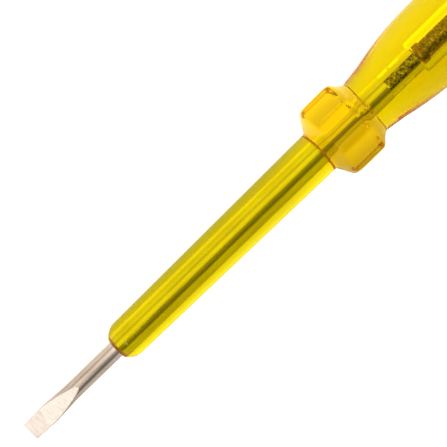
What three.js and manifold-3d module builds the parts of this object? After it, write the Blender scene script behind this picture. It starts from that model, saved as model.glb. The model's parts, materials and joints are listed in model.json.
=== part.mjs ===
// Neon mains tester screwdriver: a slotted blade in a clear yellow handle that holds a resistor, a neon
// lamp and a contact spring behind a screw cap with a pocket clip.
// Millimetres, +Z up. The tool lies along X with its blade at -X, and its belly rests on Z = 0.
// Inside the tool group, x is the distance from the blade's tip and the tool's axis is y = z = 0.

import * as THREE from "three";
import { mergeVertices } from "three/addons/utils/BufferGeometryUtils.js";
import Module from "manifold-3d";

const wasm = await Module();
wasm.setup();

// ---- driving dimensions -------------------------------------------------------------------------------

const OVERALL_LENGTH = 140;
const ROUND = 48; // sides of a large turned surface
const SMALL_ROUND = 24; // sides of a small turned surface
const LEAD_ROUND = 12; // sides of a thin lead
const EDGE_STEPS = 5; // flats round a quarter turn
const FLARE_STEPS = 10; // rings along the handle's flare
const FIT = 0.1; // small clearance between neighbours
const CUT_FIT = 0.3; // clearance round a piece that its neighbour's cavity follows

const BLADE = {
  tipThickness: 0.5,
  tipRadius: 1.6,
  flareRadius: 1.77,
  flareAt: 4.4,
  flareEnd: 9,
  flatRise: 0.42, // half thickness where the hollow grind turns into the ramp
  flatRiseAt: 3.5,
  groundTo: 10.5, // where the ground flats run out on the round rod
  runOut: 1,
  turn: THREE.MathUtils.degToRad(8),
};
const ROD = { radius: 1.5, end: 86 };
const EARS = { starts: [79.5, 81.9], length: 1.8, thickness: 1.0, height: 4.0 }; // coined up and down

const NOSE = { start: 19.3, endRound: 3.2, endTurn: 145, frontRadius: 3.33, rearRadius: 3.82 };
const COLLAR = {
  start: 64.4,
  fillet: 0.4, // where the nose turns up into the front chamfer
  chamferEnd: 66.7,
  flatEnd: 72.6,
  end: 74.9,
  acrossFlats: 13.6,
  cornerRadius: 7.4,
  edge: 0.4,
  hollowRadius: 2.15, // the hollow at the back, which runs down to the neck
  hollowInset: 0.15,
  hollowTurn: [192, 265], // degrees
};
const NECK = { frontRadius: 5.1, rear: 78.5, rearRadius: 5.63, slope: 0.22 };
const GRIP = { full: 91, radius: 7.1, end: 132.4, rearRound: 1.6 };
const FLUTES = { count: 8, start: 97, end: 122, cutterRadius: 4, depth: 0.45 };

// The bore is narrow round the resistor and steps out for the lamp.
const BORE = { bottom: 85.7, coneEnd: 86, frontRadius: 2.05, stepStart: 97.2, stepEnd: 97.5, radius: 2.3 };
const THREAD = { start: 126, radius: 2.6 };

const CUP_WALL = 0.2; // the metal of the end cups on the resistor and the lamp
const RESISTOR = { start: 86.1, length: 11.9, coreRadius: 1.55, ferruleRadius: 1.85, ferruleLength: 1.4 };
const LAMP = {
  length: 18.4,
  glassRadius: 1.8,
  wall: 0.4,
  shoulder: 1.2,
  ferruleRadius: 2.05,
  ferruleLength: 3.2,
};
const ELECTRODE = { radius: 0.28, offset: 0.48, overlap: 5.6 };
const SPRING = { innerRadius: 1.35, outerRadius: 1.95 };

const CAP = {
  radius: 5.8,
  bodyRadius: 5.5, // the turned rims on each side of the knurl
  stemStart: 127.2,
  stemEdge: 0.3,
  pilotLength: 1.2,
  pilotRadius: 1.1,
  edge: 0.7,
};
const KNURL = { teeth: 36, depth: 0.22, margin: 1.1 };
const CLIP = {
  thickness: 0.45,
  width: 4.4,
  ringRadius: 5.4,
  bendRadius: 0.75,
  armTop: 9.2,
  tabBottom: 4.4,
  tabTop: 7.9,
};
const CLIP_GAP = 0.15; // between the clip's bump and the handle
// The arm's front end as [x, height over the bump]: the bump, then the curl that lets cloth in.
const CLIP_FRONT = [[103, 0.35], [101, 0], [99.7, 0.28], [97.6, 1.25]];

const lampStart = RESISTOR.start + RESISTOR.length + FIT;
const lampEnd = lampStart + LAMP.length;
const springStart = lampEnd + FIT;
const clipBack = GRIP.end + FIT;
const capFront = clipBack + CLIP.thickness + FIT;

// ---- shape tools --------------------------------------------------------------------------------------

function volumeOf(position, index) {
  let sum = 0;
  const [a, b, c] = [new THREE.Vector3(), new THREE.Vector3(), new THREE.Vector3()];
  for (let i = 0; i < index.length; i += 3) {
    a.fromBufferAttribute(position, index[i]);
    b.fromBufferAttribute(position, index[i + 1]);
    c.fromBufferAttribute(position, index[i + 2]);
    sum += a.dot(b.cross(c)) / 6;
  }
  return sum;
}

// A closed geometry as a solid that can be joined and cut.
function solid(geometry) {
  const bare = geometry.clone();
  bare.deleteAttribute("normal");
  bare.deleteAttribute("uv");
  const merged = mergeVertices(bare, 1e-5);
  const corners = merged.index.array;
  const kept = [];
  for (let i = 0; i < corners.length; i += 3) {
    const [a, b, c] = [corners[i], corners[i + 1], corners[i + 2]];
    if (a !== b && b !== c && c !== a) kept.push(a, b, c);
  }
  const position = merged.getAttribute("position");
  if (volumeOf(position, kept) < 0) kept.reverse();
  const mesh = new wasm.Mesh({
    numProp: 3,
    vertProperties: new Float32Array(position.array),
    triVerts: new Uint32Array(kept),
  });
  return new wasm.Manifold(mesh);
}

function geometryOf(shape) {
  const { vertProperties, triVerts } = shape.getMesh();
  const geometry = new THREE.BufferGeometry();
  geometry.setAttribute("position", new THREE.BufferAttribute(vertProperties, 3));
  geometry.setIndex(new THREE.BufferAttribute(triVerts, 1));
  geometry.computeVertexNormals();
  return geometry;
}

// A body turned about the x axis. profile is [[x, radius], ...], from the axis to the axis or closed.
function turned(profile, sides = ROUND) {
  const points = profile.map(([x, radius]) => new THREE.Vector2(radius, x));
  return solid(new THREE.LatheGeometry(points, sides).rotateZ(-Math.PI / 2));
}

function cylinder(start, end, radius, sides = SMALL_ROUND) {
  return turned([[start, 0], [start, radius], [end, radius], [end, 0]], sides);
}

function ring(start, end, inner, outer, sides = ROUND) {
  return turned([[start, inner], [start, outer], [end, outer], [end, inner], [start, inner]], sides);
}

function box(start, end, width, height) {
  return solid(new THREE.BoxGeometry(end - start, width, height).translate((start + end) / 2, 0, 0));
}

// An outline in the x-z plane, given width along y.
function plate(outline, width) {
  const shape = new THREE.Shape(outline.map(([x, z]) => new THREE.Vector2(x, z)));
  const geometry = new THREE.ExtrudeGeometry(shape, { depth: width, bevelEnabled: false });
  return solid(geometry.rotateX(Math.PI / 2).translate(0, width / 2, 0));
}

// An outline in the y-z plane, drawn out along x from start to end.
function bar(outline, start, end) {
  const shape = new THREE.Shape(outline.map(([y, z]) => new THREE.Vector2(-z, y)));
  const geometry = new THREE.ExtrudeGeometry(shape, { depth: end - start, bevelEnabled: false });
  return solid(geometry.rotateY(Math.PI / 2).translate(start, 0, 0));
}

// Points of an arc in a profile plane, with angles in degrees.
function arc(x, y, radius, from, to, steps) {
  return Array.from({ length: steps + 1 }, (_, i) => {
    const angle = THREE.MathUtils.degToRad(from + ((to - from) * i) / steps);
    return [x + radius * Math.cos(angle), y + radius * Math.sin(angle)];
  });
}

function turnAbout(shape, angle) {
  return shape.rotate([THREE.MathUtils.radToDeg(angle), 0, 0]);
}

// ---- blade and rod ------------------------------------------------------------------------------------

function bladeRod() {
  const blank = turned([
    [0, 0],
    [0, BLADE.tipRadius],
    [BLADE.flareAt, BLADE.flareRadius],
    [BLADE.flareEnd, ROD.radius],
    [ROD.end, ROD.radius],
    [ROD.end, 0],
  ]);
  const clear = ROD.radius + 1;
  const upper = [
    [0, BLADE.tipThickness / 2],
    [BLADE.flatRiseAt, BLADE.flatRise],
    [BLADE.groundTo, ROD.radius],
    [BLADE.groundTo + BLADE.runOut, clear],
    [ROD.end, clear],
  ];
  const lower = upper.map(([x, z]) => [x, -z]).reverse();
  const ground = turnAbout(blank.intersect(plate([...upper, ...lower], 2 * clear)), BLADE.turn);
  return EARS.starts.reduce(
    (rod, start) => rod.add(box(start, start + EARS.length, EARS.thickness, EARS.height)),
    ground,
  );
}

// ---- handle -------------------------------------------------------------------------------------------

function flareProfile() {
  const span = GRIP.full - NECK.rear;
  return Array.from({ length: FLARE_STEPS + 1 }, (_, i) => {
    const t = i / FLARE_STEPS;
    const start = 2 * t ** 3 - 3 * t ** 2 + 1;
    const slope = t ** 3 - 2 * t ** 2 + t;
    const radius = start * NECK.rearRadius + slope * span * NECK.slope + (1 - start) * GRIP.radius;
    return [NECK.rear + span * t, radius];
  });
}

function octagonPrism(acrossFlats, start, end) {
  const corner = acrossFlats / 2 / Math.cos(Math.PI / 8);
  const outline = Array.from({ length: 8 }, (_, i) => {
    const angle = Math.PI / 8 + (i * Math.PI) / 4;
    return [corner * Math.cos(angle), corner * Math.sin(angle)];
  });
  return bar(outline, start, end);
}

function collar() {
  const hollow = arc(
    COLLAR.end + COLLAR.hollowInset,
    NECK.frontRadius + COLLAR.hollowRadius,
    COLLAR.hollowRadius,
    ...COLLAR.hollowTurn,
    EDGE_STEPS,
  );
  const blank = turned([
    [COLLAR.start, 0],
    [COLLAR.start, NOSE.rearRadius],
    [COLLAR.start + COLLAR.fillet, NOSE.rearRadius + COLLAR.fillet],
    [COLLAR.chamferEnd - COLLAR.edge, COLLAR.cornerRadius - COLLAR.edge],
    [COLLAR.chamferEnd, COLLAR.cornerRadius],
    [COLLAR.flatEnd, COLLAR.cornerRadius],
    ...hollow,
    [COLLAR.end, NECK.frontRadius],
    [COLLAR.end, 0],
  ]);
  return blank.intersect(octagonPrism(COLLAR.acrossFlats, COLLAR.start - 1, COLLAR.end + 1));
}

function flutes() {
  const length = FLUTES.end - FLUTES.start - 2 * FLUTES.cutterRadius;
  const capsule = new THREE.CapsuleGeometry(FLUTES.cutterRadius, length, 8, SMALL_ROUND);
  capsule.rotateZ(Math.PI / 2);
  capsule.translate((FLUTES.start + FLUTES.end) / 2, 0, GRIP.radius + FLUTES.cutterRadius - FLUTES.depth);
  const cutter = solid(capsule);
  return Array.from({ length: FLUTES.count }, (_, i) => turnAbout(cutter, (i * 2 * Math.PI) / FLUTES.count));
}

function handleBore() {
  const channel = cylinder(NOSE.start - 1, BORE.bottom + 1, ROD.radius + CUT_FIT);
  const pocket = box(
    EARS.starts[0] - CUT_FIT,
    EARS.starts[1] + EARS.length + CUT_FIT,
    EARS.thickness + 2 * CUT_FIT,
    EARS.height + 2 * CUT_FIT,
  );
  const chamber = turned([
    [BORE.bottom, 0],
    [BORE.bottom, ROD.radius],
    [BORE.coneEnd, BORE.frontRadius],
    [BORE.stepStart, BORE.frontRadius],
    [BORE.stepEnd, BORE.radius],
    [THREAD.start, BORE.radius],
    [THREAD.start, THREAD.radius + CUT_FIT],
    [GRIP.end + 1, THREAD.radius + CUT_FIT],
    [GRIP.end + 1, 0],
  ]);
  return channel.add(pocket).add(chamber);
}

function handle() {
  const nose = NOSE.endRound;
  const centre = NOSE.start - nose * Math.cos(THREE.MathUtils.degToRad(NOSE.endTurn));
  const noseEnd = arc(centre, NOSE.frontRadius - nose, nose, NOSE.endTurn, 90, EDGE_STEPS);
  const rear = GRIP.rearRound;
  const rearEdge = arc(GRIP.end - rear, GRIP.radius - rear, rear, 90, 0, EDGE_STEPS);
  const body = turned([
    [NOSE.start, 0],
    ...noseEnd,
    [COLLAR.start + 1, NOSE.rearRadius],
    [COLLAR.end, NECK.frontRadius],
    ...flareProfile(),
    ...rearEdge,
    [GRIP.end, 0],
  ]);
  const outside = flutes().reduce((shape, flute) => shape.subtract(flute), body.add(collar()));
  return outside.subtract(handleBore());
}

// ---- resistor and neon lamp ---------------------------------------------------------------------------

// A thin metal cup over one end of a round piece. Its closed end is at start, and depth runs to its mouth.
function ferrule(start, depth, radius) {
  const floor = start + Math.sign(depth) * CUP_WALL;
  return turned([
    [start, 0],
    [start, radius],
    [start + depth, radius],
    [start + depth, radius - CUP_WALL],
    [floor, radius - CUP_WALL],
    [floor, 0],
  ], SMALL_ROUND);
}

function resistorCore() {
  const inset = CUP_WALL + FIT;
  const start = RESISTOR.start + inset;
  const end = RESISTOR.start + RESISTOR.length - inset;
  return cylinder(start, end, RESISTOR.coreRadius);
}

// The lamp's envelope is a tube whose ends are drawn in to the electrodes.
function lampGlass() {
  const start = lampStart + LAMP.wall + FIT;
  const end = lampEnd - LAMP.wall - FIT;
  const throat = ELECTRODE.offset + ELECTRODE.radius + FIT;
  const inner = LAMP.glassRadius - LAMP.wall;
  return turned([
    [start, throat],
    [start, throat + LAMP.wall],
    [start + LAMP.shoulder, LAMP.glassRadius],
    [end - LAMP.shoulder, LAMP.glassRadius],
    [end, throat + LAMP.wall],
    [end, throat],
    [end - LAMP.shoulder, inner],
    [start + LAMP.shoulder, inner],
    [start, throat],
  ]);
}

function electrode(start, end, side) {
  return cylinder(start, end, ELECTRODE.radius, LEAD_ROUND).translate([0, 0, side * ELECTRODE.offset]);
}

// ---- spring, screw cap and clip -----------------------------------------------------------------------

function springSleeve() {
  return ring(springStart, CAP.stemStart - FIT, SPRING.innerRadius, SPRING.outerRadius, SMALL_ROUND);
}

function knurl() {
  const outline = Array.from({ length: 2 * KNURL.teeth }, (_, i) => {
    const radius = CAP.radius - (i % 2) * KNURL.depth;
    const angle = (i * Math.PI) / KNURL.teeth;
    return [radius * Math.cos(angle), radius * Math.sin(angle)];
  });
  return bar(outline, capFront + KNURL.margin, OVERALL_LENGTH - KNURL.margin);
}

function screwCap() {
  const turning = turned([
    [CAP.stemStart - CAP.pilotLength, 0],
    [CAP.stemStart - CAP.pilotLength, CAP.pilotRadius],
    [CAP.stemStart, CAP.pilotRadius],
    [CAP.stemStart, THREAD.radius - CAP.stemEdge],
    [CAP.stemStart + CAP.stemEdge, THREAD.radius],
    [capFront, THREAD.radius],
    [capFront, CAP.bodyRadius - CAP.edge / 2],
    [capFront + CAP.edge / 2, CAP.bodyRadius],
    [OVERALL_LENGTH - CAP.edge, CAP.bodyRadius],
    [OVERALL_LENGTH, CAP.bodyRadius - 2 * CAP.edge],
    [OVERALL_LENGTH, 0],
  ]);
  return turning.add(knurl());
}

function clipRing() {
  const disc = ring(clipBack, clipBack + CLIP.thickness, THREAD.radius + CUT_FIT / 2, CLIP.ringRadius);
  const tab = box(clipBack, clipBack + CLIP.thickness, CLIP.width, CLIP.tabTop - CLIP.tabBottom);
  return disc.add(tab.translate([0, 0, (CLIP.tabTop + CLIP.tabBottom) / 2]));
}

// The arm turns forward over the handle, runs down to its contact bump and curls up at the tip.
function clipArm() {
  const back = clipBack + CLIP.thickness;
  const bendX = back - CLIP.bendRadius;
  const bendZ = CLIP.armTop - CLIP.bendRadius;
  const touch = GRIP.radius + CLIP_GAP;
  const top = CLIP_FRONT.map(([x, height]) => [x, touch + height + CLIP.thickness]);
  const bottom = CLIP_FRONT.map(([x, height]) => [x, touch + height]).reverse();
  return plate([
    [back, CLIP.tabTop + FIT],
    ...arc(bendX, bendZ, CLIP.bendRadius, 0, 90, EDGE_STEPS),
    ...top,
    ...bottom,
    ...arc(bendX, bendZ, CLIP.bendRadius - CLIP.thickness, 90, 0, EDGE_STEPS),
    [clipBack, CLIP.tabTop + FIT],
  ], CLIP.width);
}

// ---- assembly -----------------------------------------------------------------------------------------

const material = (color, roughness, metalness = 0, opacity = 1) =>
  new THREE.MeshStandardMaterial({ color, roughness, metalness, opacity, transparent: opacity < 1 });

const STEEL = material(0xc9bba8, 0.32, 1);
const NICKEL = material(0xd6d2c8, 0.22, 1);
const BRASS = material(0xc8a04a, 0.3, 1);
const YELLOW = material(0xf2d010, 0.08, 0, 0.5);
const LACQUER = material(0x9c6b43, 0.5);
const GLASS = material(0xf4f6f4, 0.03, 0, 0.35);

const resistorEnd = RESISTOR.start + RESISTOR.length;
const lampMiddle = (lampStart + lampEnd) / 2;
const leadGap = LAMP.wall + FIT;

const pieces = [
  ["blade_rod", bladeRod(), STEEL],
  ["handle", handle(), YELLOW],
  ["resistor_core", resistorCore(), LACQUER],
  [
    "resistor_ferrule_front",
    ferrule(RESISTOR.start, RESISTOR.ferruleLength, RESISTOR.ferruleRadius),
    BRASS,
  ],
  [
    "resistor_ferrule_rear",
    ferrule(resistorEnd, -RESISTOR.ferruleLength, RESISTOR.ferruleRadius),
    BRASS,
  ],
  ["neon_glass", lampGlass(), GLASS],
  ["neon_electrode_front", electrode(lampStart + leadGap, lampMiddle + ELECTRODE.overlap / 2, 1), NICKEL],
  ["neon_electrode_rear", electrode(lampMiddle - ELECTRODE.overlap / 2, lampEnd - leadGap, -1), NICKEL],
  ["neon_ferrule_front", ferrule(lampStart, LAMP.ferruleLength, LAMP.ferruleRadius), NICKEL],
  ["neon_ferrule_rear", ferrule(lampEnd, -LAMP.ferruleLength, LAMP.ferruleRadius), NICKEL],
  ["contact_spring", springSleeve(), STEEL],
  ["screw_cap", screwCap(), NICKEL],
  ["clip_ring", clipRing(), STEEL],
  ["clip_arm", clipArm(), STEEL],
];

const tool = new THREE.Group();
tool.position.set(-OVERALL_LENGTH / 2, 0, GRIP.radius);
for (const [name, shape, look] of pieces) {
  const mesh = new THREE.Mesh(geometryOf(shape), look);
  mesh.name = name;
  tool.add(mesh);
}

const tester = new THREE.Group();
tester.add(tool);

export default tester;
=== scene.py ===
import json
import math

import bpy
import numpy as np
from mathutils import Matrix, Vector


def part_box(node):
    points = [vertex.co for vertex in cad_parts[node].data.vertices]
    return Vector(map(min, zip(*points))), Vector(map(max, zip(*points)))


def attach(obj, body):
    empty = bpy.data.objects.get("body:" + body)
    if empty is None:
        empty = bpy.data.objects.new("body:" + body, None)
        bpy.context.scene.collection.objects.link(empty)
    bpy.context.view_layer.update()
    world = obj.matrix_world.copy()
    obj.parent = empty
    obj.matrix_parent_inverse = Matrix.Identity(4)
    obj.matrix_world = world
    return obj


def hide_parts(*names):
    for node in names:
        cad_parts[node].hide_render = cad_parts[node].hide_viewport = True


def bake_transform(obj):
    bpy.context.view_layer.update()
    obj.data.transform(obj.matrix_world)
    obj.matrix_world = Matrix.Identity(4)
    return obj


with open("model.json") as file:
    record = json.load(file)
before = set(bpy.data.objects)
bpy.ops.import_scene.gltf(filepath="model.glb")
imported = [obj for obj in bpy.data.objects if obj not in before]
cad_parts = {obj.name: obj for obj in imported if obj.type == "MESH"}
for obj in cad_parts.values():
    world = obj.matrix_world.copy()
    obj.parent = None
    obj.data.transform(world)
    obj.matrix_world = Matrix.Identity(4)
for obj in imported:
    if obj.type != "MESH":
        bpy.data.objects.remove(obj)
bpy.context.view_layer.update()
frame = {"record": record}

# Neon mains tester screwdriver: the fine surfaces and materials of every piece.
# Shapes are written in millimetres as (distance from the blade's tip, radius about the tool's axis).

MM = 0.001
HANDLE_LOW, HANDLE_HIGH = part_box("handle")
TIP_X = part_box("blade_rod")[0].x
AXIS_Z = (HANDLE_LOW.z + HANDLE_HIGH.z) / 2


def along(distance):
    """The row frame's x, in metres, at a distance in millimetres from the blade's tip."""
    return TIP_X + distance * MM


def distance_of(x):
    """The reverse of along()."""
    return (x - TIP_X) / MM


# ---- camera, light and floor ---------------------------------------------------------------------------

VIEW_TURN = math.radians(44.15)  # the tool rises to the upper right by this much
VIEW_CENTRE = Vector((along(45.5), 2.42 * MM, AXIS_Z))
VIEW_DISTANCE = 0.199
LENS = 100.0
WARM = (1.0, 0.97, 0.93)
BACKGROUND, FLOOR_WHITE, FLOOR_GREY = 0.97, 0.95, 0.7  # the first two are what the camera sees directly
# How bright the room is by its lean in degrees from overhead, from the -Y wall to the +Y window.
ROOM = [
    (-90, 0.6), (-78, 0.8), (-62, 0.16), (-45, 0.24), (-25, 0.34), (-13, 0.4),
    (-1, 1.0), (25, 1.15), (40, 0.85), (49, 0.52), (60, 0.95), (78, 1.05), (90, 1.0),
]
FLOOR_PAINTED_LIGHT = [(-5, 0.14), (5, 0.95), (8, 0.78), (20, 0.45)]  # painted light on the floor by its y in millimetres, seen only round the object: a painted shadow on the -Y side and a painted pool of light on the +Y side
FLOOR_PAINTED_SHADE, PAINTED_SHADE_RUN = (0.72, 1.05), (56, 68)  # painted shade: the floor's painted light is scaled by these before and after this run of distances, dimmer under the blade and sleeve
PANEL_PLACE, PANEL_SIZE, PANEL_POWER = (along(2) - 0.18, -0.11, 0.35), 0.16, 0.25
PANEL_TARGET = (along(4), 0, AXIS_Z)


def add_camera():
    data = bpy.data.cameras.new("camera")
    data.lens = LENS
    data.clip_start, data.clip_end = 0.01, 10.0
    camera = bpy.data.objects.new("camera", data)
    right = Vector((math.cos(VIEW_TURN), -math.sin(VIEW_TURN), 0))
    up = Vector((math.sin(VIEW_TURN), math.cos(VIEW_TURN), 0))
    back = Vector((0, 0, 1))
    turn = Matrix((right, up, back)).transposed().to_4x4()
    camera.matrix_world = Matrix.Translation(VIEW_CENTRE + back * VIEW_DISTANCE) @ turn
    bpy.context.collection.objects.link(camera)
    bpy.context.scene.camera = camera


def add_panel():
    """A lamp that brightens the blade."""
    data = bpy.data.lights.new("blade_panel", "AREA")
    data.shape = "RECTANGLE"
    data.size = data.size_y = PANEL_SIZE
    data.energy = PANEL_POWER
    lamp = bpy.data.objects.new("blade_panel", data)
    lamp.location = PANEL_PLACE
    lamp.rotation_euler = (Vector(PANEL_TARGET) - Vector(PANEL_PLACE)).to_track_quat("-Z", "Y").to_euler()
    bpy.context.collection.objects.link(lamp)


def camera_only(tree):
    """1 for what the camera sees directly and 0 for light on its way round the object."""
    return tree.nodes.new("ShaderNodeLightPath").outputs["Is Camera Ray"]


def add_world():
    """A studio with its window on the +Y side, a dark wall on the -Y side and a darker slot overhead."""
    world = bpy.data.worlds.new("studio")
    world.use_nodes = True
    bpy.context.scene.world = world
    tree = world.node_tree
    direction = position(tree, "Generated")
    lean = calculate(tree, "ARCTAN2", direction["Y"], direction["Z"])
    stops = [(degrees, [value * c for c in WARM]) for degrees, value in ROOM]
    room = colours_along(tree, lean, -math.pi / 2, math.pi / 2, stops)
    seen = mix(tree, camera_only(tree), room, (*[BACKGROUND] * 3, 1), "RGBA")
    tree.links.new(seen, tree.nodes["Background"].inputs["Color"])


def add_floor():
    size = 3.0
    mesh = bpy.data.meshes.new("floor")
    corners = [(-size, -size, 0), (size, -size, 0), (size, size, 0), (-size, size, 0)]
    mesh.from_pydata(corners, [], [(0, 1, 2, 3)])
    floor = bpy.data.objects.new("floor", mesh)
    bpy.context.collection.objects.link(floor)
    look, shader, tree = new_material(
        "floor", Base_Color=(*[FLOOR_GREY] * 3, 1), Roughness=0.9, Emission_Color=(1, 1, 1, 1)
    )
    place = position(tree)
    # The light that the floor gives off for rays round the object is painted: a painted shadow of the tool on
    # the -Y side and a painted pool of light on the +Y side. The camera sees the floor evenly white.
    stops = [(y, [value] * 3) for y, value in FLOOR_PAINTED_LIGHT]
    painted_light = colours_along(tree, place["Y"], stops[0][0] * MM, stops[-1][0] * MM, stops)
    # Painted shade: the floor's painted light is dimmer under the blade and sleeve than under the collar and
    # grip.
    painted_shade = spread(tree, place["X"], *FLOOR_PAINTED_SHADE, *map(along, PAINTED_SHADE_RUN))
    seen = mix(tree, camera_only(tree), calculate(tree, "MULTIPLY", painted_light, painted_shade), FLOOR_WHITE)
    tree.links.new(seen, shader.inputs["Emission Strength"])
    mesh.materials.append(look)


# ---- node tools ----------------------------------------------------------------------------------------


def new_material(name, **settings):
    look = bpy.data.materials.new(name)
    look.use_nodes = True
    shader = look.node_tree.nodes["Principled BSDF"]
    for socket, value in settings.items():
        shader.inputs[socket.replace("_", " ")].default_value = value
    return look, shader, look.node_tree


def position(tree, kind="Object"):
    """The place that is shaded, as X, Y and Z in the row frame. In the world, "Generated" is a direction."""
    place = tree.nodes.new("ShaderNodeTexCoord")
    parts = tree.nodes.new("ShaderNodeSeparateXYZ")
    tree.links.new(place.outputs[kind], parts.inputs[0])
    return parts.outputs


def calculate(tree, operation, first, second):
    node = tree.nodes.new("ShaderNodeMath")
    node.operation = operation
    tree.links.new(first, node.inputs[0])
    tree.links.new(second, node.inputs[1])
    return node.outputs[0]


def mix(tree, factor, low, high, kind="FLOAT"):
    """low where the factor is 0 and high where it is 1. high may be a plain value."""
    node = tree.nodes.new("ShaderNodeMix")
    node.data_type = kind
    tree.links.new(factor, node.inputs["Factor"])
    tree.links.new(low, node.inputs["A"])
    if isinstance(high, bpy.types.NodeSocket):
        tree.links.new(high, node.inputs["B"])
    else:
        node.inputs["B"].default_value = high
    return node.outputs["Result"]


def noise(tree, scale, stretch=(1, 1, 1), detail=4.0, roughness=0.55):
    """Noise in the row frame: scale is in features a metre, and stretch multiplies each axis."""
    place = tree.nodes.new("ShaderNodeTexCoord")
    mapping = tree.nodes.new("ShaderNodeMapping")
    mapping.inputs["Scale"].default_value = stretch
    texture = tree.nodes.new("ShaderNodeTexNoise")
    texture.inputs["Scale"].default_value = scale
    texture.inputs["Detail"].default_value = detail
    texture.inputs["Roughness"].default_value = roughness
    tree.links.new(place.outputs["Object"], mapping.inputs["Vector"])
    tree.links.new(mapping.outputs["Vector"], texture.inputs["Vector"])
    return texture.outputs["Fac"]


def spread(tree, value, low, high, start=0.3, end=0.7):
    """A value between start and end, spread from low to high."""
    node = tree.nodes.new("ShaderNodeMapRange")
    node.inputs["From Min"].default_value = start
    node.inputs["From Max"].default_value = end
    node.inputs["To Min"].default_value = low
    node.inputs["To Max"].default_value = high
    tree.links.new(value, node.inputs["Value"])
    return node.outputs["Result"]


def blend_colours(tree, value, stops):
    """Colours by a value from 0 to 1. stops is [(value, colour), ...]."""
    node = tree.nodes.new("ShaderNodeValToRGB")
    while len(node.color_ramp.elements) < len(stops):
        node.color_ramp.elements.new(0.5)
    for element, (spot, colour) in zip(node.color_ramp.elements, stops):
        element.position = spot
        element.color = (*colour, 1)
    tree.links.new(value, node.inputs["Fac"])
    return node.outputs["Color"]


def colours_along(tree, value, start, end, stops):
    """Colours by a value in any unit. It is start at the first of the stops and end at the last."""
    first, last = stops[0][0], stops[-1][0]
    share = spread(tree, value, 0, 1, start, end)
    return blend_colours(tree, share, [((spot - first) / (last - first), colour) for spot, colour in stops])


def bump(tree, shader, height, depth, strength):
    node = tree.nodes.new("ShaderNodeBump")
    node.inputs["Distance"].default_value = depth
    node.inputs["Strength"].default_value = strength
    tree.links.new(height, node.inputs["Height"])
    tree.links.new(node.outputs["Normal"], shader.inputs["Normal"])


# ---- materials -----------------------------------------------------------------------------------------

COLLAR_TINT = [(64.0, 0.905), (65.5, 0.82), (73.5, 0.82), (76.0, 0.905)]  # the plastic's green by distance
PLASTIC_BLUE = 0.015
ABSORPTION, ABSORPTION_DENSITY = (0.999, 0.989, 0.5, 1), 1000


def yellow_plastic():
    """Clear yellow plastic. Its tint is deeper in the collar, as if light took the longest paths there."""
    look, shader, tree = new_material(
        "yellow_clear", Transmission_Weight=1.0, IOR=1.49, Specular_Tint=(1, 0.85, 0.15, 1)
    )
    stops = [(d, (1, green, PLASTIC_BLUE)) for d, green in COLLAR_TINT]
    tint = colours_along(tree, position(tree)["X"], along(stops[0][0]), along(stops[-1][0]), stops)
    tree.links.new(tint, shader.inputs["Base Color"])
    cloud = noise(tree, 260, detail=3)
    tree.links.new(spread(tree, cloud, 0.015, 0.06), shader.inputs["Roughness"])
    bump(tree, shader, noise(tree, 300, (0.35, 1, 1), detail=1), 0.00002, 0.15)
    absorb = tree.nodes.new("ShaderNodeVolumeAbsorption")
    absorb.inputs["Color"].default_value = ABSORPTION
    absorb.inputs["Density"].default_value = ABSORPTION_DENSITY
    tree.links.new(absorb.outputs[0], tree.nodes["Material Output"].inputs["Volume"])
    return look


def drawn_steel():
    """Nickel-plated bar with fine lengthwise lines, dull and tan where it is bare, bright in the plastic."""
    look, shader, tree = new_material("blade_steel", Metallic=1.0)
    lines = noise(tree, 9000, (0.02, 1, 1), detail=3)
    tint = noise(tree, 500, (0.3, 1, 1), detail=5)
    dull = blend_colours(
        tree, tint, [(0.3, (0.64, 0.53, 0.44)), (0.55, (0.77, 0.66, 0.56)), (0.75, (0.88, 0.79, 0.7))]
    )
    bright = blend_colours(tree, tint, [(0.3, (0.8, 0.74, 0.64)), (0.7, (0.9, 0.86, 0.78))])
    edge = HANDLE_LOW.x
    covered = spread(tree, position(tree)["X"], 0, 1, edge - MM, edge + MM)
    tree.links.new(mix(tree, covered, dull, bright, "RGBA"), shader.inputs["Base Color"])
    tree.links.new(spread(tree, lines, 0.14, 0.3), shader.inputs["Roughness"])
    bump(tree, shader, lines, 0.000012, 0.5)
    return look


def ground_steel():
    """The blade's flats, ground across."""
    look, shader, tree = new_material("blade_ground", Metallic=1.0)
    lines = noise(tree, 9000, (1, 0.04, 1), detail=3)
    streaks = noise(tree, 2600, (1, 0.12, 1), detail=4)
    colour = blend_colours(tree, streaks, [(0.32, (0.84, 0.75, 0.67)), (0.56, (0.94, 0.86, 0.78))])
    tree.links.new(colour, shader.inputs["Base Color"])
    tree.links.new(spread(tree, lines, 0.42, 0.62), shader.inputs["Roughness"])
    bump(tree, shader, lines, 0.00001, 0.5)
    return look


def tail_scale():
    """Dark mottled scale that the coining leaves on the rod's tail."""
    look, shader, tree = new_material("tail_scale", Metallic=1.0)
    marks = noise(tree, 2400, detail=5, roughness=0.7)
    colour = blend_colours(tree, marks, [(0.42, (0.1, 0.08, 0.05)), (0.62, (0.72, 0.64, 0.5))])
    tree.links.new(colour, shader.inputs["Base Color"])
    tree.links.new(spread(tree, marks, 0.45, 0.25), shader.inputs["Roughness"])
    bump(tree, shader, marks, 0.00004, 0.6)
    return look


def nickel():
    look, shader, tree = new_material("nickel", Metallic=1.0)
    tint = noise(tree, 700, detail=4)
    colour = blend_colours(tree, tint, [(0.3, (0.62, 0.59, 0.55)), (0.7, (0.76, 0.74, 0.7))])
    tree.links.new(colour, shader.inputs["Base Color"])
    tree.links.new(spread(tree, noise(tree, 5000), 0.12, 0.26), shader.inputs["Roughness"])
    return look


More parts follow.
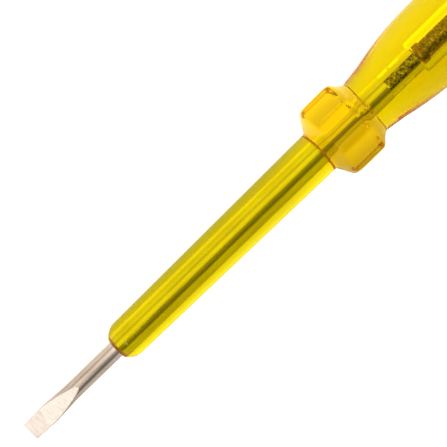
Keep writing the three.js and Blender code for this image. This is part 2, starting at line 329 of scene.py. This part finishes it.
def brass():
    """Pressed brass, dulled with dark oxide in patches."""
    look, shader, tree = new_material("plated_brass", Metallic=1.0)
    tint = noise(tree, 1600, detail=6, roughness=0.65)
    colour = blend_colours(
        tree, tint, [(0.38, (0.2, 0.13, 0.06)), (0.54, (0.52, 0.38, 0.18)), (0.7, (0.78, 0.62, 0.34))]
    )
    tree.links.new(colour, shader.inputs["Base Color"])
    tree.links.new(spread(tree, noise(tree, 4000), 0.2, 0.4), shader.inputs["Roughness"])
    return look


def spring_steel():
    look, shader, tree = new_material("spring_steel", Metallic=1.0)
    tint = noise(tree, 900, detail=4)
    colour = blend_colours(tree, tint, [(0.3, (0.66, 0.65, 0.63)), (0.7, (0.82, 0.81, 0.79))])
    tree.links.new(colour, shader.inputs["Base Color"])
    tree.links.new(spread(tree, noise(tree, 6000, (0.05, 1, 1)), 0.18, 0.34), shader.inputs["Roughness"])
    return look


def lacquer():
    """Dark speckled lacquer over a carbon film, which glints like dull metal."""
    look, shader, tree = new_material("resistor_lacquer", Metallic=0.75)
    speckle = noise(tree, 2600, detail=6, roughness=0.7)
    colour = blend_colours(
        tree, speckle, [(0.36, (0.13, 0.09, 0.05)), (0.52, (0.4, 0.3, 0.19)), (0.66, (0.88, 0.78, 0.6))]
    )
    tree.links.new(colour, shader.inputs["Base Color"])
    tree.links.new(spread(tree, speckle, 0.25, 0.45), shader.inputs["Roughness"])
    bump(tree, shader, speckle, 0.00006, 0.6)
    return look


def lamp_glass():
    look, shader, tree = new_material(
        "lamp_glass", Transmission_Weight=1.0, IOR=1.5, Base_Color=(0.97, 0.98, 0.97, 1)
    )
    tree.links.new(spread(tree, noise(tree, 900), 0.0, 0.03), shader.inputs["Roughness"])
    return look


LOOKS = {
    "yellow_clear": yellow_plastic(),
    "blade_steel": drawn_steel(),
    "blade_ground": ground_steel(),
    "tail_scale": tail_scale(),
    "nickel": nickel(),
    "plated_brass": brass(),
    "spring_steel": spring_steel(),
    "resistor_lacquer": lacquer(),
    "lamp_glass": lamp_glass(),
}

# ---- mesh tools ----------------------------------------------------------------------------------------

SLOTS = {part["node"]: part["material_slot"] for part in frame["record"]["subparts"]}
TINY = 1e-6


def span(node):
    """Where a CAD node starts and ends, as distances in millimetres from the blade's tip."""
    low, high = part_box(node)
    return distance_of(low.x), distance_of(high.x)


def radius_of(node):
    low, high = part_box(node)
    return (high.y - low.y) / 2 / MM


def finish_piece(name, points, faces, nodes, body=None, smooth_angle=40):
    """A mesh from points in the tool's millimetres (distance, y, z from the axis), in place of CAD nodes."""
    points = np.asarray(points, float) * MM
    points[:, 0] += TIP_X
    points[:, 2] += AXIS_Z
    mesh = bpy.data.meshes.new(name)
    mesh.from_pydata(points.tolist(), [], faces)
    mesh.validate()
    mesh.materials.append(LOOKS[SLOTS[nodes[0]]])
    piece = bpy.data.objects.new(name, mesh)
    bpy.context.collection.objects.link(piece)
    mesh.shade_smooth()
    mesh.set_sharp_from_angle(angle=math.radians(smooth_angle))
    if body:
        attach(piece, body)
    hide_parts(*nodes)
    return piece


def radial_mesh(profile, sides, radius_at=None):
    """Points and faces of a body about the tool's axis. profile is [(distance, radius), ...].

    It starts and ends on the axis, or closes on itself. radius_at(distance, radius, angles) may reshape
    each ring. The angle is 0 at +Y and a quarter turn at +Z.
    """
    angles = np.arange(sides) * 2 * math.pi / sides
    closed = profile[0][1] > 0
    points, rings = [], []
    for distance, radius in profile:
        first = len(points)
        if radius <= 0:
            points.append((distance, 0.0, 0.0))
            rings.append([first] * sides)
            continue
        reach = np.full(sides, radius) if radius_at is None else radius_at(distance, radius, angles)
        points += list(zip([distance] * sides, reach * np.cos(angles), reach * np.sin(angles)))
        rings.append(list(range(first, first + sides)))
    return points, outward(points, joined_rings(rings, closed))


def joined_rings(rings, closed):
    """Faces between each ring of corners and the next, and from the last to the first if closed."""
    faces = []
    for here, there in zip(rings, rings[1:] + rings[:1] if closed else rings[1:]):
        for i in range(len(here)):
            j = (i + 1) % len(here)
            face = list(dict.fromkeys((here[i], here[j], there[j], there[i])))
            if len(face) > 2:
                faces.append(face)
    return faces


def outward(points, faces):
    """The faces, all turned over if their normals point in."""
    corner = np.asarray(points, float)
    volume = 0.0
    for face in faces:
        for a, b in zip(face[1:], face[2:]):
            volume += np.dot(corner[face[0]], np.cross(corner[a], corner[b]))
    return faces if volume > 0 else [face[::-1] for face in faces]


def steps(start, end, count):
    """count + 1 even values from start to end."""
    return [start + (end - start) * i / count for i in range(count + 1)]


def arc(x, y, radius, start, end, count):
    """Points on an arc, with angles in degrees."""
    turns = [math.radians(a) for a in steps(start, end, count)]
    return [(x + radius * math.cos(a), y + radius * math.sin(a)) for a in turns]


def line(start, end, count):
    """Points from start to end, without the start."""
    return list(zip(steps(start[0], end[0], count), steps(start[1], end[1], count)))[1:]


def soft_min(a, b, softness):
    """The smaller value, with a rounded change from one to the other."""
    return 0.5 * (a + b - np.sqrt((a - b) ** 2 + softness**2))


def soft_max(a, b, softness):
    """The larger value, with a rounded change from one to the other."""
    return 0.5 * (a + b + np.sqrt((a - b) ** 2 + softness**2))


def ramp(value, start, end):
    """0 before start, 1 after end and a smooth rise between."""
    t = min(1.0, max(0.0, (value - start) / (end - start)))
    return t * t * (3 - 2 * t)


def zigzag(turns):
    """A triangle wave: 0 at whole numbers and 1 half way between."""
    return 1 - np.abs(2 * (np.asarray(turns) % 1.0) - 1)


# ---- blade and rod -------------------------------------------------------------------------------------

ROD_RADIUS = 1.5
ROD_END = span("blade_rod")[1]
TIP_RADIUS, FLARE_RADIUS, FLARE_AT, FLARE_END = 1.6, 1.77, 4.4, 9.0
FLATS = [(0.0, 0.25), (3.5, 0.42), (10.5, 1.5), (12.0, 2.2)]  # (distance, half thickness) of the grind
FLATS_END = FLATS[-1][0]
BLADE_TURN = math.radians(8)
EAR_STARTS = (79.5, 81.9)
EAR_LENGTH, EAR_REACH, EAR_HALF, EAR_DENT = 1.8, 2.0, 0.5, 1.22
FLAT_SOFTNESS, EAR_SOFTNESS = 0.03, 0.05
ROD_EDGE, ROD_CHAMFER, ROD_SIDES = 0.06, 0.25, 288
FLAT_FACING, END_FACING = 0.96, -0.9  # ground faces look along the flats' normal or forward, by this much
SCALE_HALF = 0.7  # half the width of the scale that the coining leaves on the tail


def rod_reach(distance, radius, angles):
    """The rod's radius at each angle: ground flats on the blade, coined ears on the tail."""
    reach = np.full(len(angles), radius)
    if distance < FLATS_END:
        half = float(np.interp(distance, *zip(*FLATS)))
        flat = half / np.maximum(np.abs(np.sin(angles - BLADE_TURN)), TINY)
        reach = np.minimum(soft_min(reach, flat, FLAT_SOFTNESS), radius)
    if any(start - TINY <= distance <= start + EAR_LENGTH + TINY for start in EAR_STARTS):
        across = np.maximum(np.abs(np.cos(angles)), TINY)
        tip = EAR_REACH / np.maximum(np.abs(np.sin(angles)), TINY)
        ear = soft_min(tip, EAR_HALF / across, EAR_SOFTNESS)
        reach = np.maximum(np.minimum(reach, EAR_DENT / across), ear)
    return reach


def rod_profile():
    blank = [(0.0, 0.0), (0.0, TIP_RADIUS - ROD_EDGE), (ROD_EDGE, TIP_RADIUS)]
    blank += line(blank[-1], (FLARE_AT, FLARE_RADIUS), 18)
    blank += line(blank[-1], (FLARE_END, ROD_RADIUS), 22)
    blank += line(blank[-1], (FLATS_END, ROD_RADIUS), 16)
    for start in EAR_STARTS:
        blank += line(blank[-1], (start - ROD_EDGE, ROD_RADIUS), 4)
        blank += [(d, ROD_RADIUS) for d in steps(start, start + EAR_LENGTH, 6)]
        blank += [(start + EAR_LENGTH + ROD_EDGE, ROD_RADIUS)]
    return blank + [(ROD_END - ROD_CHAMFER, ROD_RADIUS), (ROD_END, ROD_RADIUS - ROD_CHAMFER), (ROD_END, 0.0)]


def build_rod():
    points, faces = radial_mesh(rod_profile(), ROD_SIDES, rod_reach)
    rod = finish_piece("blade_rod_fine", points, faces, ["blade_rod"], "handle", 28)
    rod.data.materials.append(LOOKS["blade_ground"])
    rod.data.materials.append(LOOKS["tail_scale"])
    flat_normal = Vector((0, -math.sin(BLADE_TURN), math.cos(BLADE_TURN)))
    for face in rod.data.polygons:
        distance = distance_of(face.center.x)
        ground = abs(face.normal.dot(flat_normal)) > FLAT_FACING or face.normal.x < END_FACING
        if distance < FLATS[2][0] and ground:
            face.material_index = 1
        if distance > EAR_STARTS[0] and abs(face.center.y) < SCALE_HALF * MM:
            face.material_index = 2


# ---- handle --------------------------------------------------------------------------------------------

NOSE_START, GRIP_END = span("handle")
NOSE_ROUND, NOSE_TURN = 3.2, 145  # the rounding of the sleeve's end, and the angle at which it starts
NOSE_RADIUS, SLEEVE_RADIUS = 3.33, 3.82
GRIP_RADIUS = (HANDLE_HIGH.z - HANDLE_LOW.z) / 2 / MM
COLLAR_START, COLLAR_END = 64.7, 74.9
COLLAR_APOTHEM, COLLAR_SHARPNESS = 6.8, 40
CHAMFER_SLOPE = 1.9
FILLET_SOFTNESS, HOLLOW_SOFTNESS, CHAMFER_SOFTNESS = 0.2, 0.45, 0.6
FILLET_START = COLLAR_START - 1.5
HOLLOW_DEPTH, HOLLOW_LENGTH, HOLLOW_POWER = 1.7, 2.1, 1.7
NECK_START_RADIUS, NECK_END, NECK_RADIUS, NECK_SLOPE = 5.1, 78.5, 5.63, 0.22
GRIP_FULL = 91.0
GRIP_ROUND = 1.6
BORE_START, BORE_FRONT_RADIUS, BORE_RADIUS, BORE_ROUND = 85.7, 2.05, 2.3, 0.6
BORE_STEP = (97.2, 97.5)  # the bore is narrow round the resistor and steps out for the lamp
FLUTES, FLUTE_DEPTH, FLUTE_POWER = 8, 0.45, 1.5
FLUTE_RUN = (95.5, 100.0, 119.0, 123.5)  # where the flutes begin, reach full depth, fade and end
THREAD_START, THREAD_PITCH = 126.0, 0.75
THREAD_ROOT, THREAD_DEPTH, THREAD_FIT = 2.2, 0.38, 0.1
BORE_MARK = 0.01  # rings wider than the bore by this carry the thread
HANDLE_SIDES = 256
CONTACT = 0.01  # the plastic grips the rod this deep, so that light passes between them without an air gap


def flare(distance):
    """The handle's radius between the neck and the full grip."""
    t = (distance - NECK_END) / (GRIP_FULL - NECK_END)
    near = 2 * t**3 - 3 * t**2 + 1
    slope = t**3 - 2 * t**2 + t
    return near * NECK_RADIUS + slope * (GRIP_FULL - NECK_END) * NECK_SLOPE + (1 - near) * GRIP_RADIUS


def collar_reach(distance, angles):
    """A round-edged octagon between a steep front chamfer, filleted to the sleeve, and a hollow rear."""
    faces = [np.maximum(np.cos(angles - i * math.pi / 4), 0) ** COLLAR_SHARPNESS for i in range(8)]
    octagon = COLLAR_APOTHEM / sum(faces) ** (1 / COLLAR_SHARPNESS)
    rise = CHAMFER_SLOPE * (distance - COLLAR_START)
    chamfer = soft_max(SLEEVE_RADIUS, SLEEVE_RADIUS + rise, FILLET_SOFTNESS)
    drop = max(0.0, (COLLAR_END - distance) / HOLLOW_LENGTH)
    hollow = NECK_START_RADIUS + HOLLOW_DEPTH * drop**HOLLOW_POWER
    return soft_min(chamfer, soft_min(octagon, hollow, HOLLOW_SOFTNESS), CHAMFER_SOFTNESS)


def thread_reach(distance, angles, root):
    """A right-hand thread that the cap follows when it turns."""
    return root + THREAD_DEPTH * zigzag(distance / THREAD_PITCH - angles / (2 * math.pi))


def handle_reach(distance, radius, angles):
    """The handle's radius at each angle: the collar, the flutes along the grip and the bore's thread."""
    if radius < NOSE_RADIUS:
        threaded = distance > THREAD_START and radius > BORE_RADIUS
        return thread_reach(distance, angles, radius) if threaded else np.full(len(angles), radius)
    if FILLET_START < distance < COLLAR_END:
        return collar_reach(distance, angles)
    depth = FLUTE_DEPTH * ramp(distance, *FLUTE_RUN[:2]) * (1 - ramp(distance, *FLUTE_RUN[2:]))
    wave = np.cos(angles * FLUTES) * 0.5 + 0.5
    return radius - depth * wave**FLUTE_POWER


def handle_profile():
    inner = ROD_RADIUS - CONTACT
    nose_centre = NOSE_START - NOSE_ROUND * math.cos(math.radians(NOSE_TURN))
    outer = [(NOSE_START, inner)] + arc(nose_centre, NOSE_RADIUS - NOSE_ROUND, NOSE_ROUND, NOSE_TURN, 90, 14)
    outer += line(outer[-1], (FILLET_START, SLEEVE_RADIUS), 16)
    outer += [(d, SLEEVE_RADIUS) for d in steps(FILLET_START, COLLAR_END, 96)[1:-1]]
    outer += [(COLLAR_END, NECK_START_RADIUS)]
    outer += line(outer[-1], (NECK_END, NECK_RADIUS), 10)
    outer += [(d, flare(d)) for d in steps(NECK_END, GRIP_FULL, 40)[1:]]
    outer += line(outer[-1], (GRIP_END - GRIP_ROUND, GRIP_RADIUS), 64)
    outer += arc(GRIP_END - GRIP_ROUND, GRIP_RADIUS - GRIP_ROUND, GRIP_ROUND, 90, 0, 10)[1:]
    root = THREAD_ROOT + THREAD_FIT
    rear = [(GRIP_END, root + 2 * THREAD_DEPTH)]
    thread_run = steps(GRIP_END - THREAD_DEPTH, THREAD_START + BORE_MARK, 66)
    rear += [(d, root + BORE_MARK) for d in thread_run]
    rear += line((THREAD_START, BORE_RADIUS), (BORE_STEP[1], BORE_RADIUS), 8)
    rear += [(BORE_STEP[0], BORE_FRONT_RADIUS)]
    rear += line(rear[-1], (BORE_START + BORE_ROUND, BORE_FRONT_RADIUS), 12)
    rear += arc(BORE_START + BORE_ROUND, BORE_FRONT_RADIUS - BORE_ROUND, BORE_ROUND, 90, 180, 7)[1:]
    channel = [(d, inner) for d in steps(BORE_START, NOSE_START, 20)[:-1]]
    return outer + rear + channel


def build_handle():
    points, faces = radial_mesh(handle_profile(), HANDLE_SIDES, handle_reach)
    finish_piece("handle_fine", points, faces, ["handle"], "handle", 50)


# ---- resistor and neon lamp ----------------------------------------------------------------------------

CUP_WALL, CUP_BEND, CUP_DIMPLE, CUP_LIP = 0.2, 0.35, 0.12, 0.05
TRIM_PITCH, TRIM_DEPTH = 1.5, 0.06


def build_cup(node, closed_at_front):
    """A pressed end cup with a rounded shoulder, a centre dimple and a rolled lip."""
    start, end = span(node) if closed_at_front else span(node)[::-1]
    inward = 1 if closed_at_front else -1
    radius, depth = radius_of(node), abs(end - start)
    floor = CUP_WALL + CUP_DIMPLE
    cup = [(CUP_DIMPLE, 0), (0.1, 0.3), (0, 0.5)] + arc(CUP_BEND, radius - CUP_BEND, CUP_BEND, 180, 90, 6)
    for from_mouth, drop in ((0.4, 0), (0.3, CUP_LIP), (0.15, 0), (0, CUP_LIP), (0, CUP_WALL)):
        cup.append((depth - from_mouth, radius - drop))
    cup += [(floor, radius - CUP_WALL), (floor, 0)]
    points, faces = radial_mesh([(start + inward * d, r) for d, r in cup], 96)
    finish_piece(node + "_fine", points, faces, [node], "handle", 50)


def core_reach(distance, radius, angles):
    """The resistor's body, with the spiral that trims its carbon film showing in the lacquer."""
    groove = np.maximum(0, 4 * zigzag(distance / TRIM_PITCH - angles / (2 * math.pi)) - 3)
    return radius - TRIM_DEPTH * groove


def build_resistor():
    start, end = span("resistor_core")
    radius = radius_of("resistor_core")
    edge = 0.3
    profile = [(start, 0)] + arc(start + edge, radius - edge, edge, 180, 90, 5)
    profile += line(profile[-1], (end - edge, radius), 90)
    profile += arc(end - edge, radius - edge, edge, 90, 0, 5)[1:] + [(end, 0)]
    points, faces = radial_mesh(profile, 128, core_reach)
    finish_piece("resistor_core_fine", points, faces, ["resistor_core"], "handle")


def build_lamp_glass():
    """A drawn tube, open only where the leads pass inside the end cups."""
    start, end = span("neon_glass")
    radius, wall, throat, shoulder = radius_of("neon_glass"), 0.4, 0.86, 1.2

    def side(reach, from_radius):
        turns = steps(0, math.pi / 2, 10)
        growth = reach - from_radius
        rise = [(start + shoulder * (1 - math.cos(a)), from_radius + growth * math.sin(a)) for a in turns]
        fall = [(start + end - d, r) for d, r in rise[::-1]]
        return rise + line(rise[-1], fall[0], 12)[:-1] + fall

    profile = side(radius, throat + wall) + side(radius - wall, throat)[::-1]
    points, faces = radial_mesh(profile, 128)
    finish_piece("neon_glass_fine", points, faces, ["neon_glass"], "handle", 60)


def build_electrode(node, lead_first):
    """A thin lead that swells into a coated electrode with a round end."""
    low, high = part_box(node)
    start, end = span(node) if lead_first else span(node)[::-1]
    inward = 1 if lead_first else -1
    radius, lead, coated = (high.y - low.y) / 2 / MM, 0.13, 7.6
    length = abs(end - start)
    profile = [(0, 0), (0, lead), (length - coated, lead), (length - coated + 0.15, radius)]
    profile += line(profile[-1], (length - radius, radius), 12)
    profile += arc(length - radius, 0, radius, 90, 0, 6)[1:-1] + [(length, 0)]
    points, faces = radial_mesh([(start + inward * d, r) for d, r in profile], 32)
    offset = ((low.z + high.z) / 2 - AXIS_Z) / MM
    points = [(d, y, z + offset) for d, y, z in points]
    finish_piece(node + "_fine", points, faces, [node], "handle")


# ---- contact spring ------------------------------------------------------------------------------------

COIL_TURNS, WIRE_RADIUS = 13, 0.27
STEPS_A_TURN, WIRE_SIDES = 40, 12
CLOSED_TURNS = 1.2  # at each end, with their wire almost touching
CLOSED_PITCH = 2.1 * WIRE_RADIUS


def build_spring():
    """A coil with closed ends, from the lamp to the cap."""
    start, end = span("contact_spring")
    mean = radius_of("contact_spring") - WIRE_RADIUS
    closed = CLOSED_TURNS * CLOSED_PITCH
    knots = [0, CLOSED_TURNS, COIL_TURNS - CLOSED_TURNS, COIL_TURNS]
    stops = [start + WIRE_RADIUS, start + WIRE_RADIUS + closed]
    stops += [end - WIRE_RADIUS - closed, end - WIRE_RADIUS]
    forward = np.array((1, 0, 0))
    section = np.arange(WIRE_SIDES) * 2 * math.pi / WIRE_SIDES
    points, rings = [], []
    for turn in steps(0, COIL_TURNS, COIL_TURNS * STEPS_A_TURN):
        angle = turn * 2 * math.pi
        out = np.array((0, math.cos(angle), math.sin(angle)))
        centre = np.array((np.interp(turn, knots, stops), 0, 0)) + mean * out
        rings.append(list(range(len(points), len(points) + WIRE_SIDES)))
        points += [centre + WIRE_RADIUS * (math.cos(a) * out + math.sin(a) * forward) for a in section]
    faces = joined_rings(rings, False) + [rings[0], rings[-1][::-1]]
    spring = finish_piece("contact_spring_fine", points, outward(points, faces), ["contact_spring"])
    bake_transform(spring)


# ---- screw cap -----------------------------------------------------------------------------------------

CAP_START, CAP_END = span("screw_cap")
CAP_RADIUS = radius_of("screw_cap")
CAP_BODY = CAP_RADIUS - 0.3
STEM_START = CAP_START + 1.2
CAP_FRONT = 133.05
CAP_ROUND, CAP_CROWN = 0.35, 0.9  # the roundings of the cap's front and rear edges
PIN_RADIUS, PIN_CHAMFER = 1.1, 0.2  # the stem's front end, which presses on the spring
STEM_MARK = 0.001  # rings wider than the thread's root by this carry the thread
RING_GROOVE, RING_WIDTH, RING_DEPTH = 3.2, 0.3, 0.1  # the turned groove in the cap's end
KNURL_TEETH, KNURL_DEPTH, KNURL_MARGIN = 36, 0.28, 1.1


def cap_reach(distance, radius, angles):
    """The cap's straight knurl and the thread on its stem."""
    if radius > CAP_BODY:
        return radius - KNURL_DEPTH * zigzag(angles * KNURL_TEETH / (2 * math.pi)) ** 1.3
    if STEM_START < distance < CAP_FRONT and radius > THREAD_ROOT:
        return thread_reach(distance, angles, radius)
    return np.full(len(angles), radius)


def cap_profile():
    stem = [(CAP_START, 0), (CAP_START, PIN_RADIUS - PIN_CHAMFER), (CAP_START + PIN_CHAMFER, PIN_RADIUS)]
    stem += [(STEM_START, PIN_RADIUS), (STEM_START, THREAD_ROOT)]
    stem += [(d, THREAD_ROOT + STEM_MARK) for d in steps(STEM_START + 0.1, CAP_FRONT - 0.6, 56)]
    stem += [(CAP_FRONT - 0.5, THREAD_ROOT), (CAP_FRONT, THREAD_ROOT), (CAP_FRONT, CAP_BODY - CAP_ROUND)]
    knurl_start, knurl_end = CAP_FRONT + KNURL_MARGIN, CAP_END - KNURL_MARGIN
    rim = arc(CAP_FRONT + CAP_ROUND, CAP_BODY - CAP_ROUND, CAP_ROUND, 180, 90, 5)[1:]
    rim += [(knurl_start, CAP_BODY), (knurl_start + 0.1, CAP_RADIUS)]
    rim += line(rim[-1], (knurl_end - 0.1, CAP_RADIUS), 12)
    rim += [(knurl_end, CAP_BODY)] + arc(CAP_END - CAP_CROWN, CAP_BODY - CAP_CROWN, CAP_CROWN, 90, 0, 9)
    bottom = CAP_END - RING_DEPTH
    end = [(CAP_END, RING_GROOVE + RING_WIDTH), (bottom, RING_GROOVE), (bottom, RING_GROOVE - RING_WIDTH / 2)]
    return stem + rim + end + [(CAP_END, RING_GROOVE - RING_WIDTH), (CAP_END, 0)]


def build_cap():
    points, faces = radial_mesh(cap_profile(), KNURL_TEETH * 8, cap_reach)
    finish_piece("screw_cap_fine", points, faces, ["screw_cap"], "cap", 35)


# ---- pocket clip ---------------------------------------------------------------------------------------

CLIP_BACK = span("clip_ring")[0]
CLIP_TOP = (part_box("clip_arm")[1].z - AXIS_Z) / MM
CLIP_TIP = span("clip_arm")[0]
CLIP_WIDTH = (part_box("clip_arm")[1].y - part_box("clip_arm")[0].y) / MM
CLIP_THICKNESS, CLIP_BEND, RING_HOLE, RING_RADIUS = 0.45, 0.75, 2.75, 5.4
CLIP_GAP, CLIP_EDGE = 0.15, 0.08
# The arm's front part as (distance, height over the bump where it comes closest to the grip).
CLIP_FRONT = [(106.0, 0.64), (103.0, 0.35), (101.0, 0.0), (99.7, 0.28), (CLIP_TIP, 1.25)]
RIB_HEIGHT, RIB_WIDTH, RIB_RUN = 0.2, 0.75, (104.0, 108.0, 125.0, 129.0)
TIP_LENGTH, TIP_POWER = 2.6, 2.6  # how long and how blunt the arm's rounded tip is


def round_corners(points, times):
    """Cuts every corner of a line of points, again and again, and keeps its ends."""
    points = np.asarray(points, float)
    for _ in range(times):
        cuts = [p * a + q * (1 - a) for p, q in zip(points, points[1:]) for a in (0.75, 0.25)]
        points = np.array([points[0], *cuts, points[-1]])
    return points


def clip_line():
    """The middle of the strip, from the ring's edge up, round the bend and forward to the curled tip."""
    middle = CLIP_BACK + CLIP_THICKNESS / 2
    bend = CLIP_BEND - CLIP_THICKNESS / 2
    top = CLIP_TOP - CLIP_THICKNESS / 2
    low = GRIP_RADIUS + CLIP_GAP + CLIP_THICKNESS / 2
    path = [(middle, z) for z in steps(RING_RADIUS, top - bend, 6)[:-1]]
    path += arc(middle - bend, top - bend, bend, 0, 90, 8)
    front = round_corners([(d, low + height) for d, height in CLIP_FRONT], 3)
    path += line(path[-1], front[0], 50)[:-1]
    return np.array([*path, *front])


def clip_sheet():
    """The middle surface as rings of the washer, then rows along the strip that grows from its edge."""
    half_turn = math.asin(CLIP_WIDTH / 2 / RING_RADIUS)
    columns = 15
    tab = [math.pi / 2 - a for a in steps(-half_turn, half_turn, columns - 1)]
    rest = [math.pi / 2 - a for a in steps(half_turn, 2 * math.pi - half_turn, 80)[1:-1]]
    angles = tab + rest
    middle = CLIP_BACK + CLIP_THICKNESS / 2
    points, rings = [], []
    for radius in steps(RING_HOLE, RING_RADIUS, 5):
        rings.append(list(range(len(points), len(points) + len(angles))))
        points += [(middle, radius * math.cos(a), radius * math.sin(a)) for a in angles]
    faces = joined_rings(rings, False)
    edge = [RING_RADIUS * math.cos(a) for a in tab]
    path = clip_line()
    along_path = np.gradient(path, axis=0)
    normal = np.stack([along_path[:, 1], -along_path[:, 0]], axis=1)
    normal /= np.linalg.norm(normal, axis=1)[:, None]
    row = rings[-1][:columns]
    for (d, z), (nd, nz) in list(zip(path, normal))[1:]:
        to_tip = max(0.0, 1 - (d - CLIP_TIP + 0.02) / TIP_LENGTH)
        narrow = math.sqrt(max(0.0, 1 - to_tip**TIP_POWER))
        rib = RIB_HEIGHT * ramp(d, *RIB_RUN[:2]) * (1 - ramp(d, *RIB_RUN[2:]))
        new = list(range(len(points), len(points) + columns))
        for y in edge:
            y *= narrow
            lift = rib * math.exp(-((y / RIB_WIDTH) ** 2) * 2)
            points.append((d + nd * lift, y, z + nz * lift))
        faces += [(row[i], row[i + 1], new[i + 1], new[i]) for i in range(columns - 1)]
        row = new
    return points, faces


def thicken(piece, thickness, edge):
    """Gives a sheet its thickness, half on each side, and rounds its edges."""
    solid = piece.modifiers.new("thickness", "SOLIDIFY")
    solid.thickness = thickness
    solid.offset = 0
    solid.use_even_offset = True
    bevel = piece.modifiers.new("edges", "BEVEL")
    bevel.width = edge
    bevel.segments = 2
    bevel.angle_limit = math.radians(50)
    shaped = piece.evaluated_get(bpy.context.evaluated_depsgraph_get())
    old = piece.data
    piece.data = bpy.data.meshes.new_from_object(shaped)
    piece.modifiers.clear()
    bpy.data.meshes.remove(old)
    piece.data.shade_smooth()
    piece.data.set_sharp_from_angle(angle=math.radians(40))


def build_clip():
    points, faces = clip_sheet()
    clip = finish_piece("pocket_clip_fine", points, faces, ["clip_ring", "clip_arm"])
    thicken(clip, CLIP_THICKNESS * MM, CLIP_EDGE * MM)
    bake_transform(clip)


# ---- the scene -----------------------------------------------------------------------------------------

scene = bpy.context.scene
scene.view_settings.view_transform = "Standard"
scene.view_settings.gamma = 0.85  # a studio print's contrast
scene.cycles.max_bounces = 48
scene.cycles.glossy_bounces = 32  # light that is turned back inside the plastic counts as glossy
scene.cycles.transmission_bounces = 32
add_camera()
add_world()
add_floor()
add_panel()

build_rod()
build_handle()
build_resistor()
build_lamp_glass()
for part in ("resistor_ferrule", "neon_ferrule"):
    build_cup(part + "_front", True)
    build_cup(part + "_rear", False)
build_electrode("neon_electrode_front", True)
build_electrode("neon_electrode_rear", False)
build_spring()
build_cap()
build_clip()
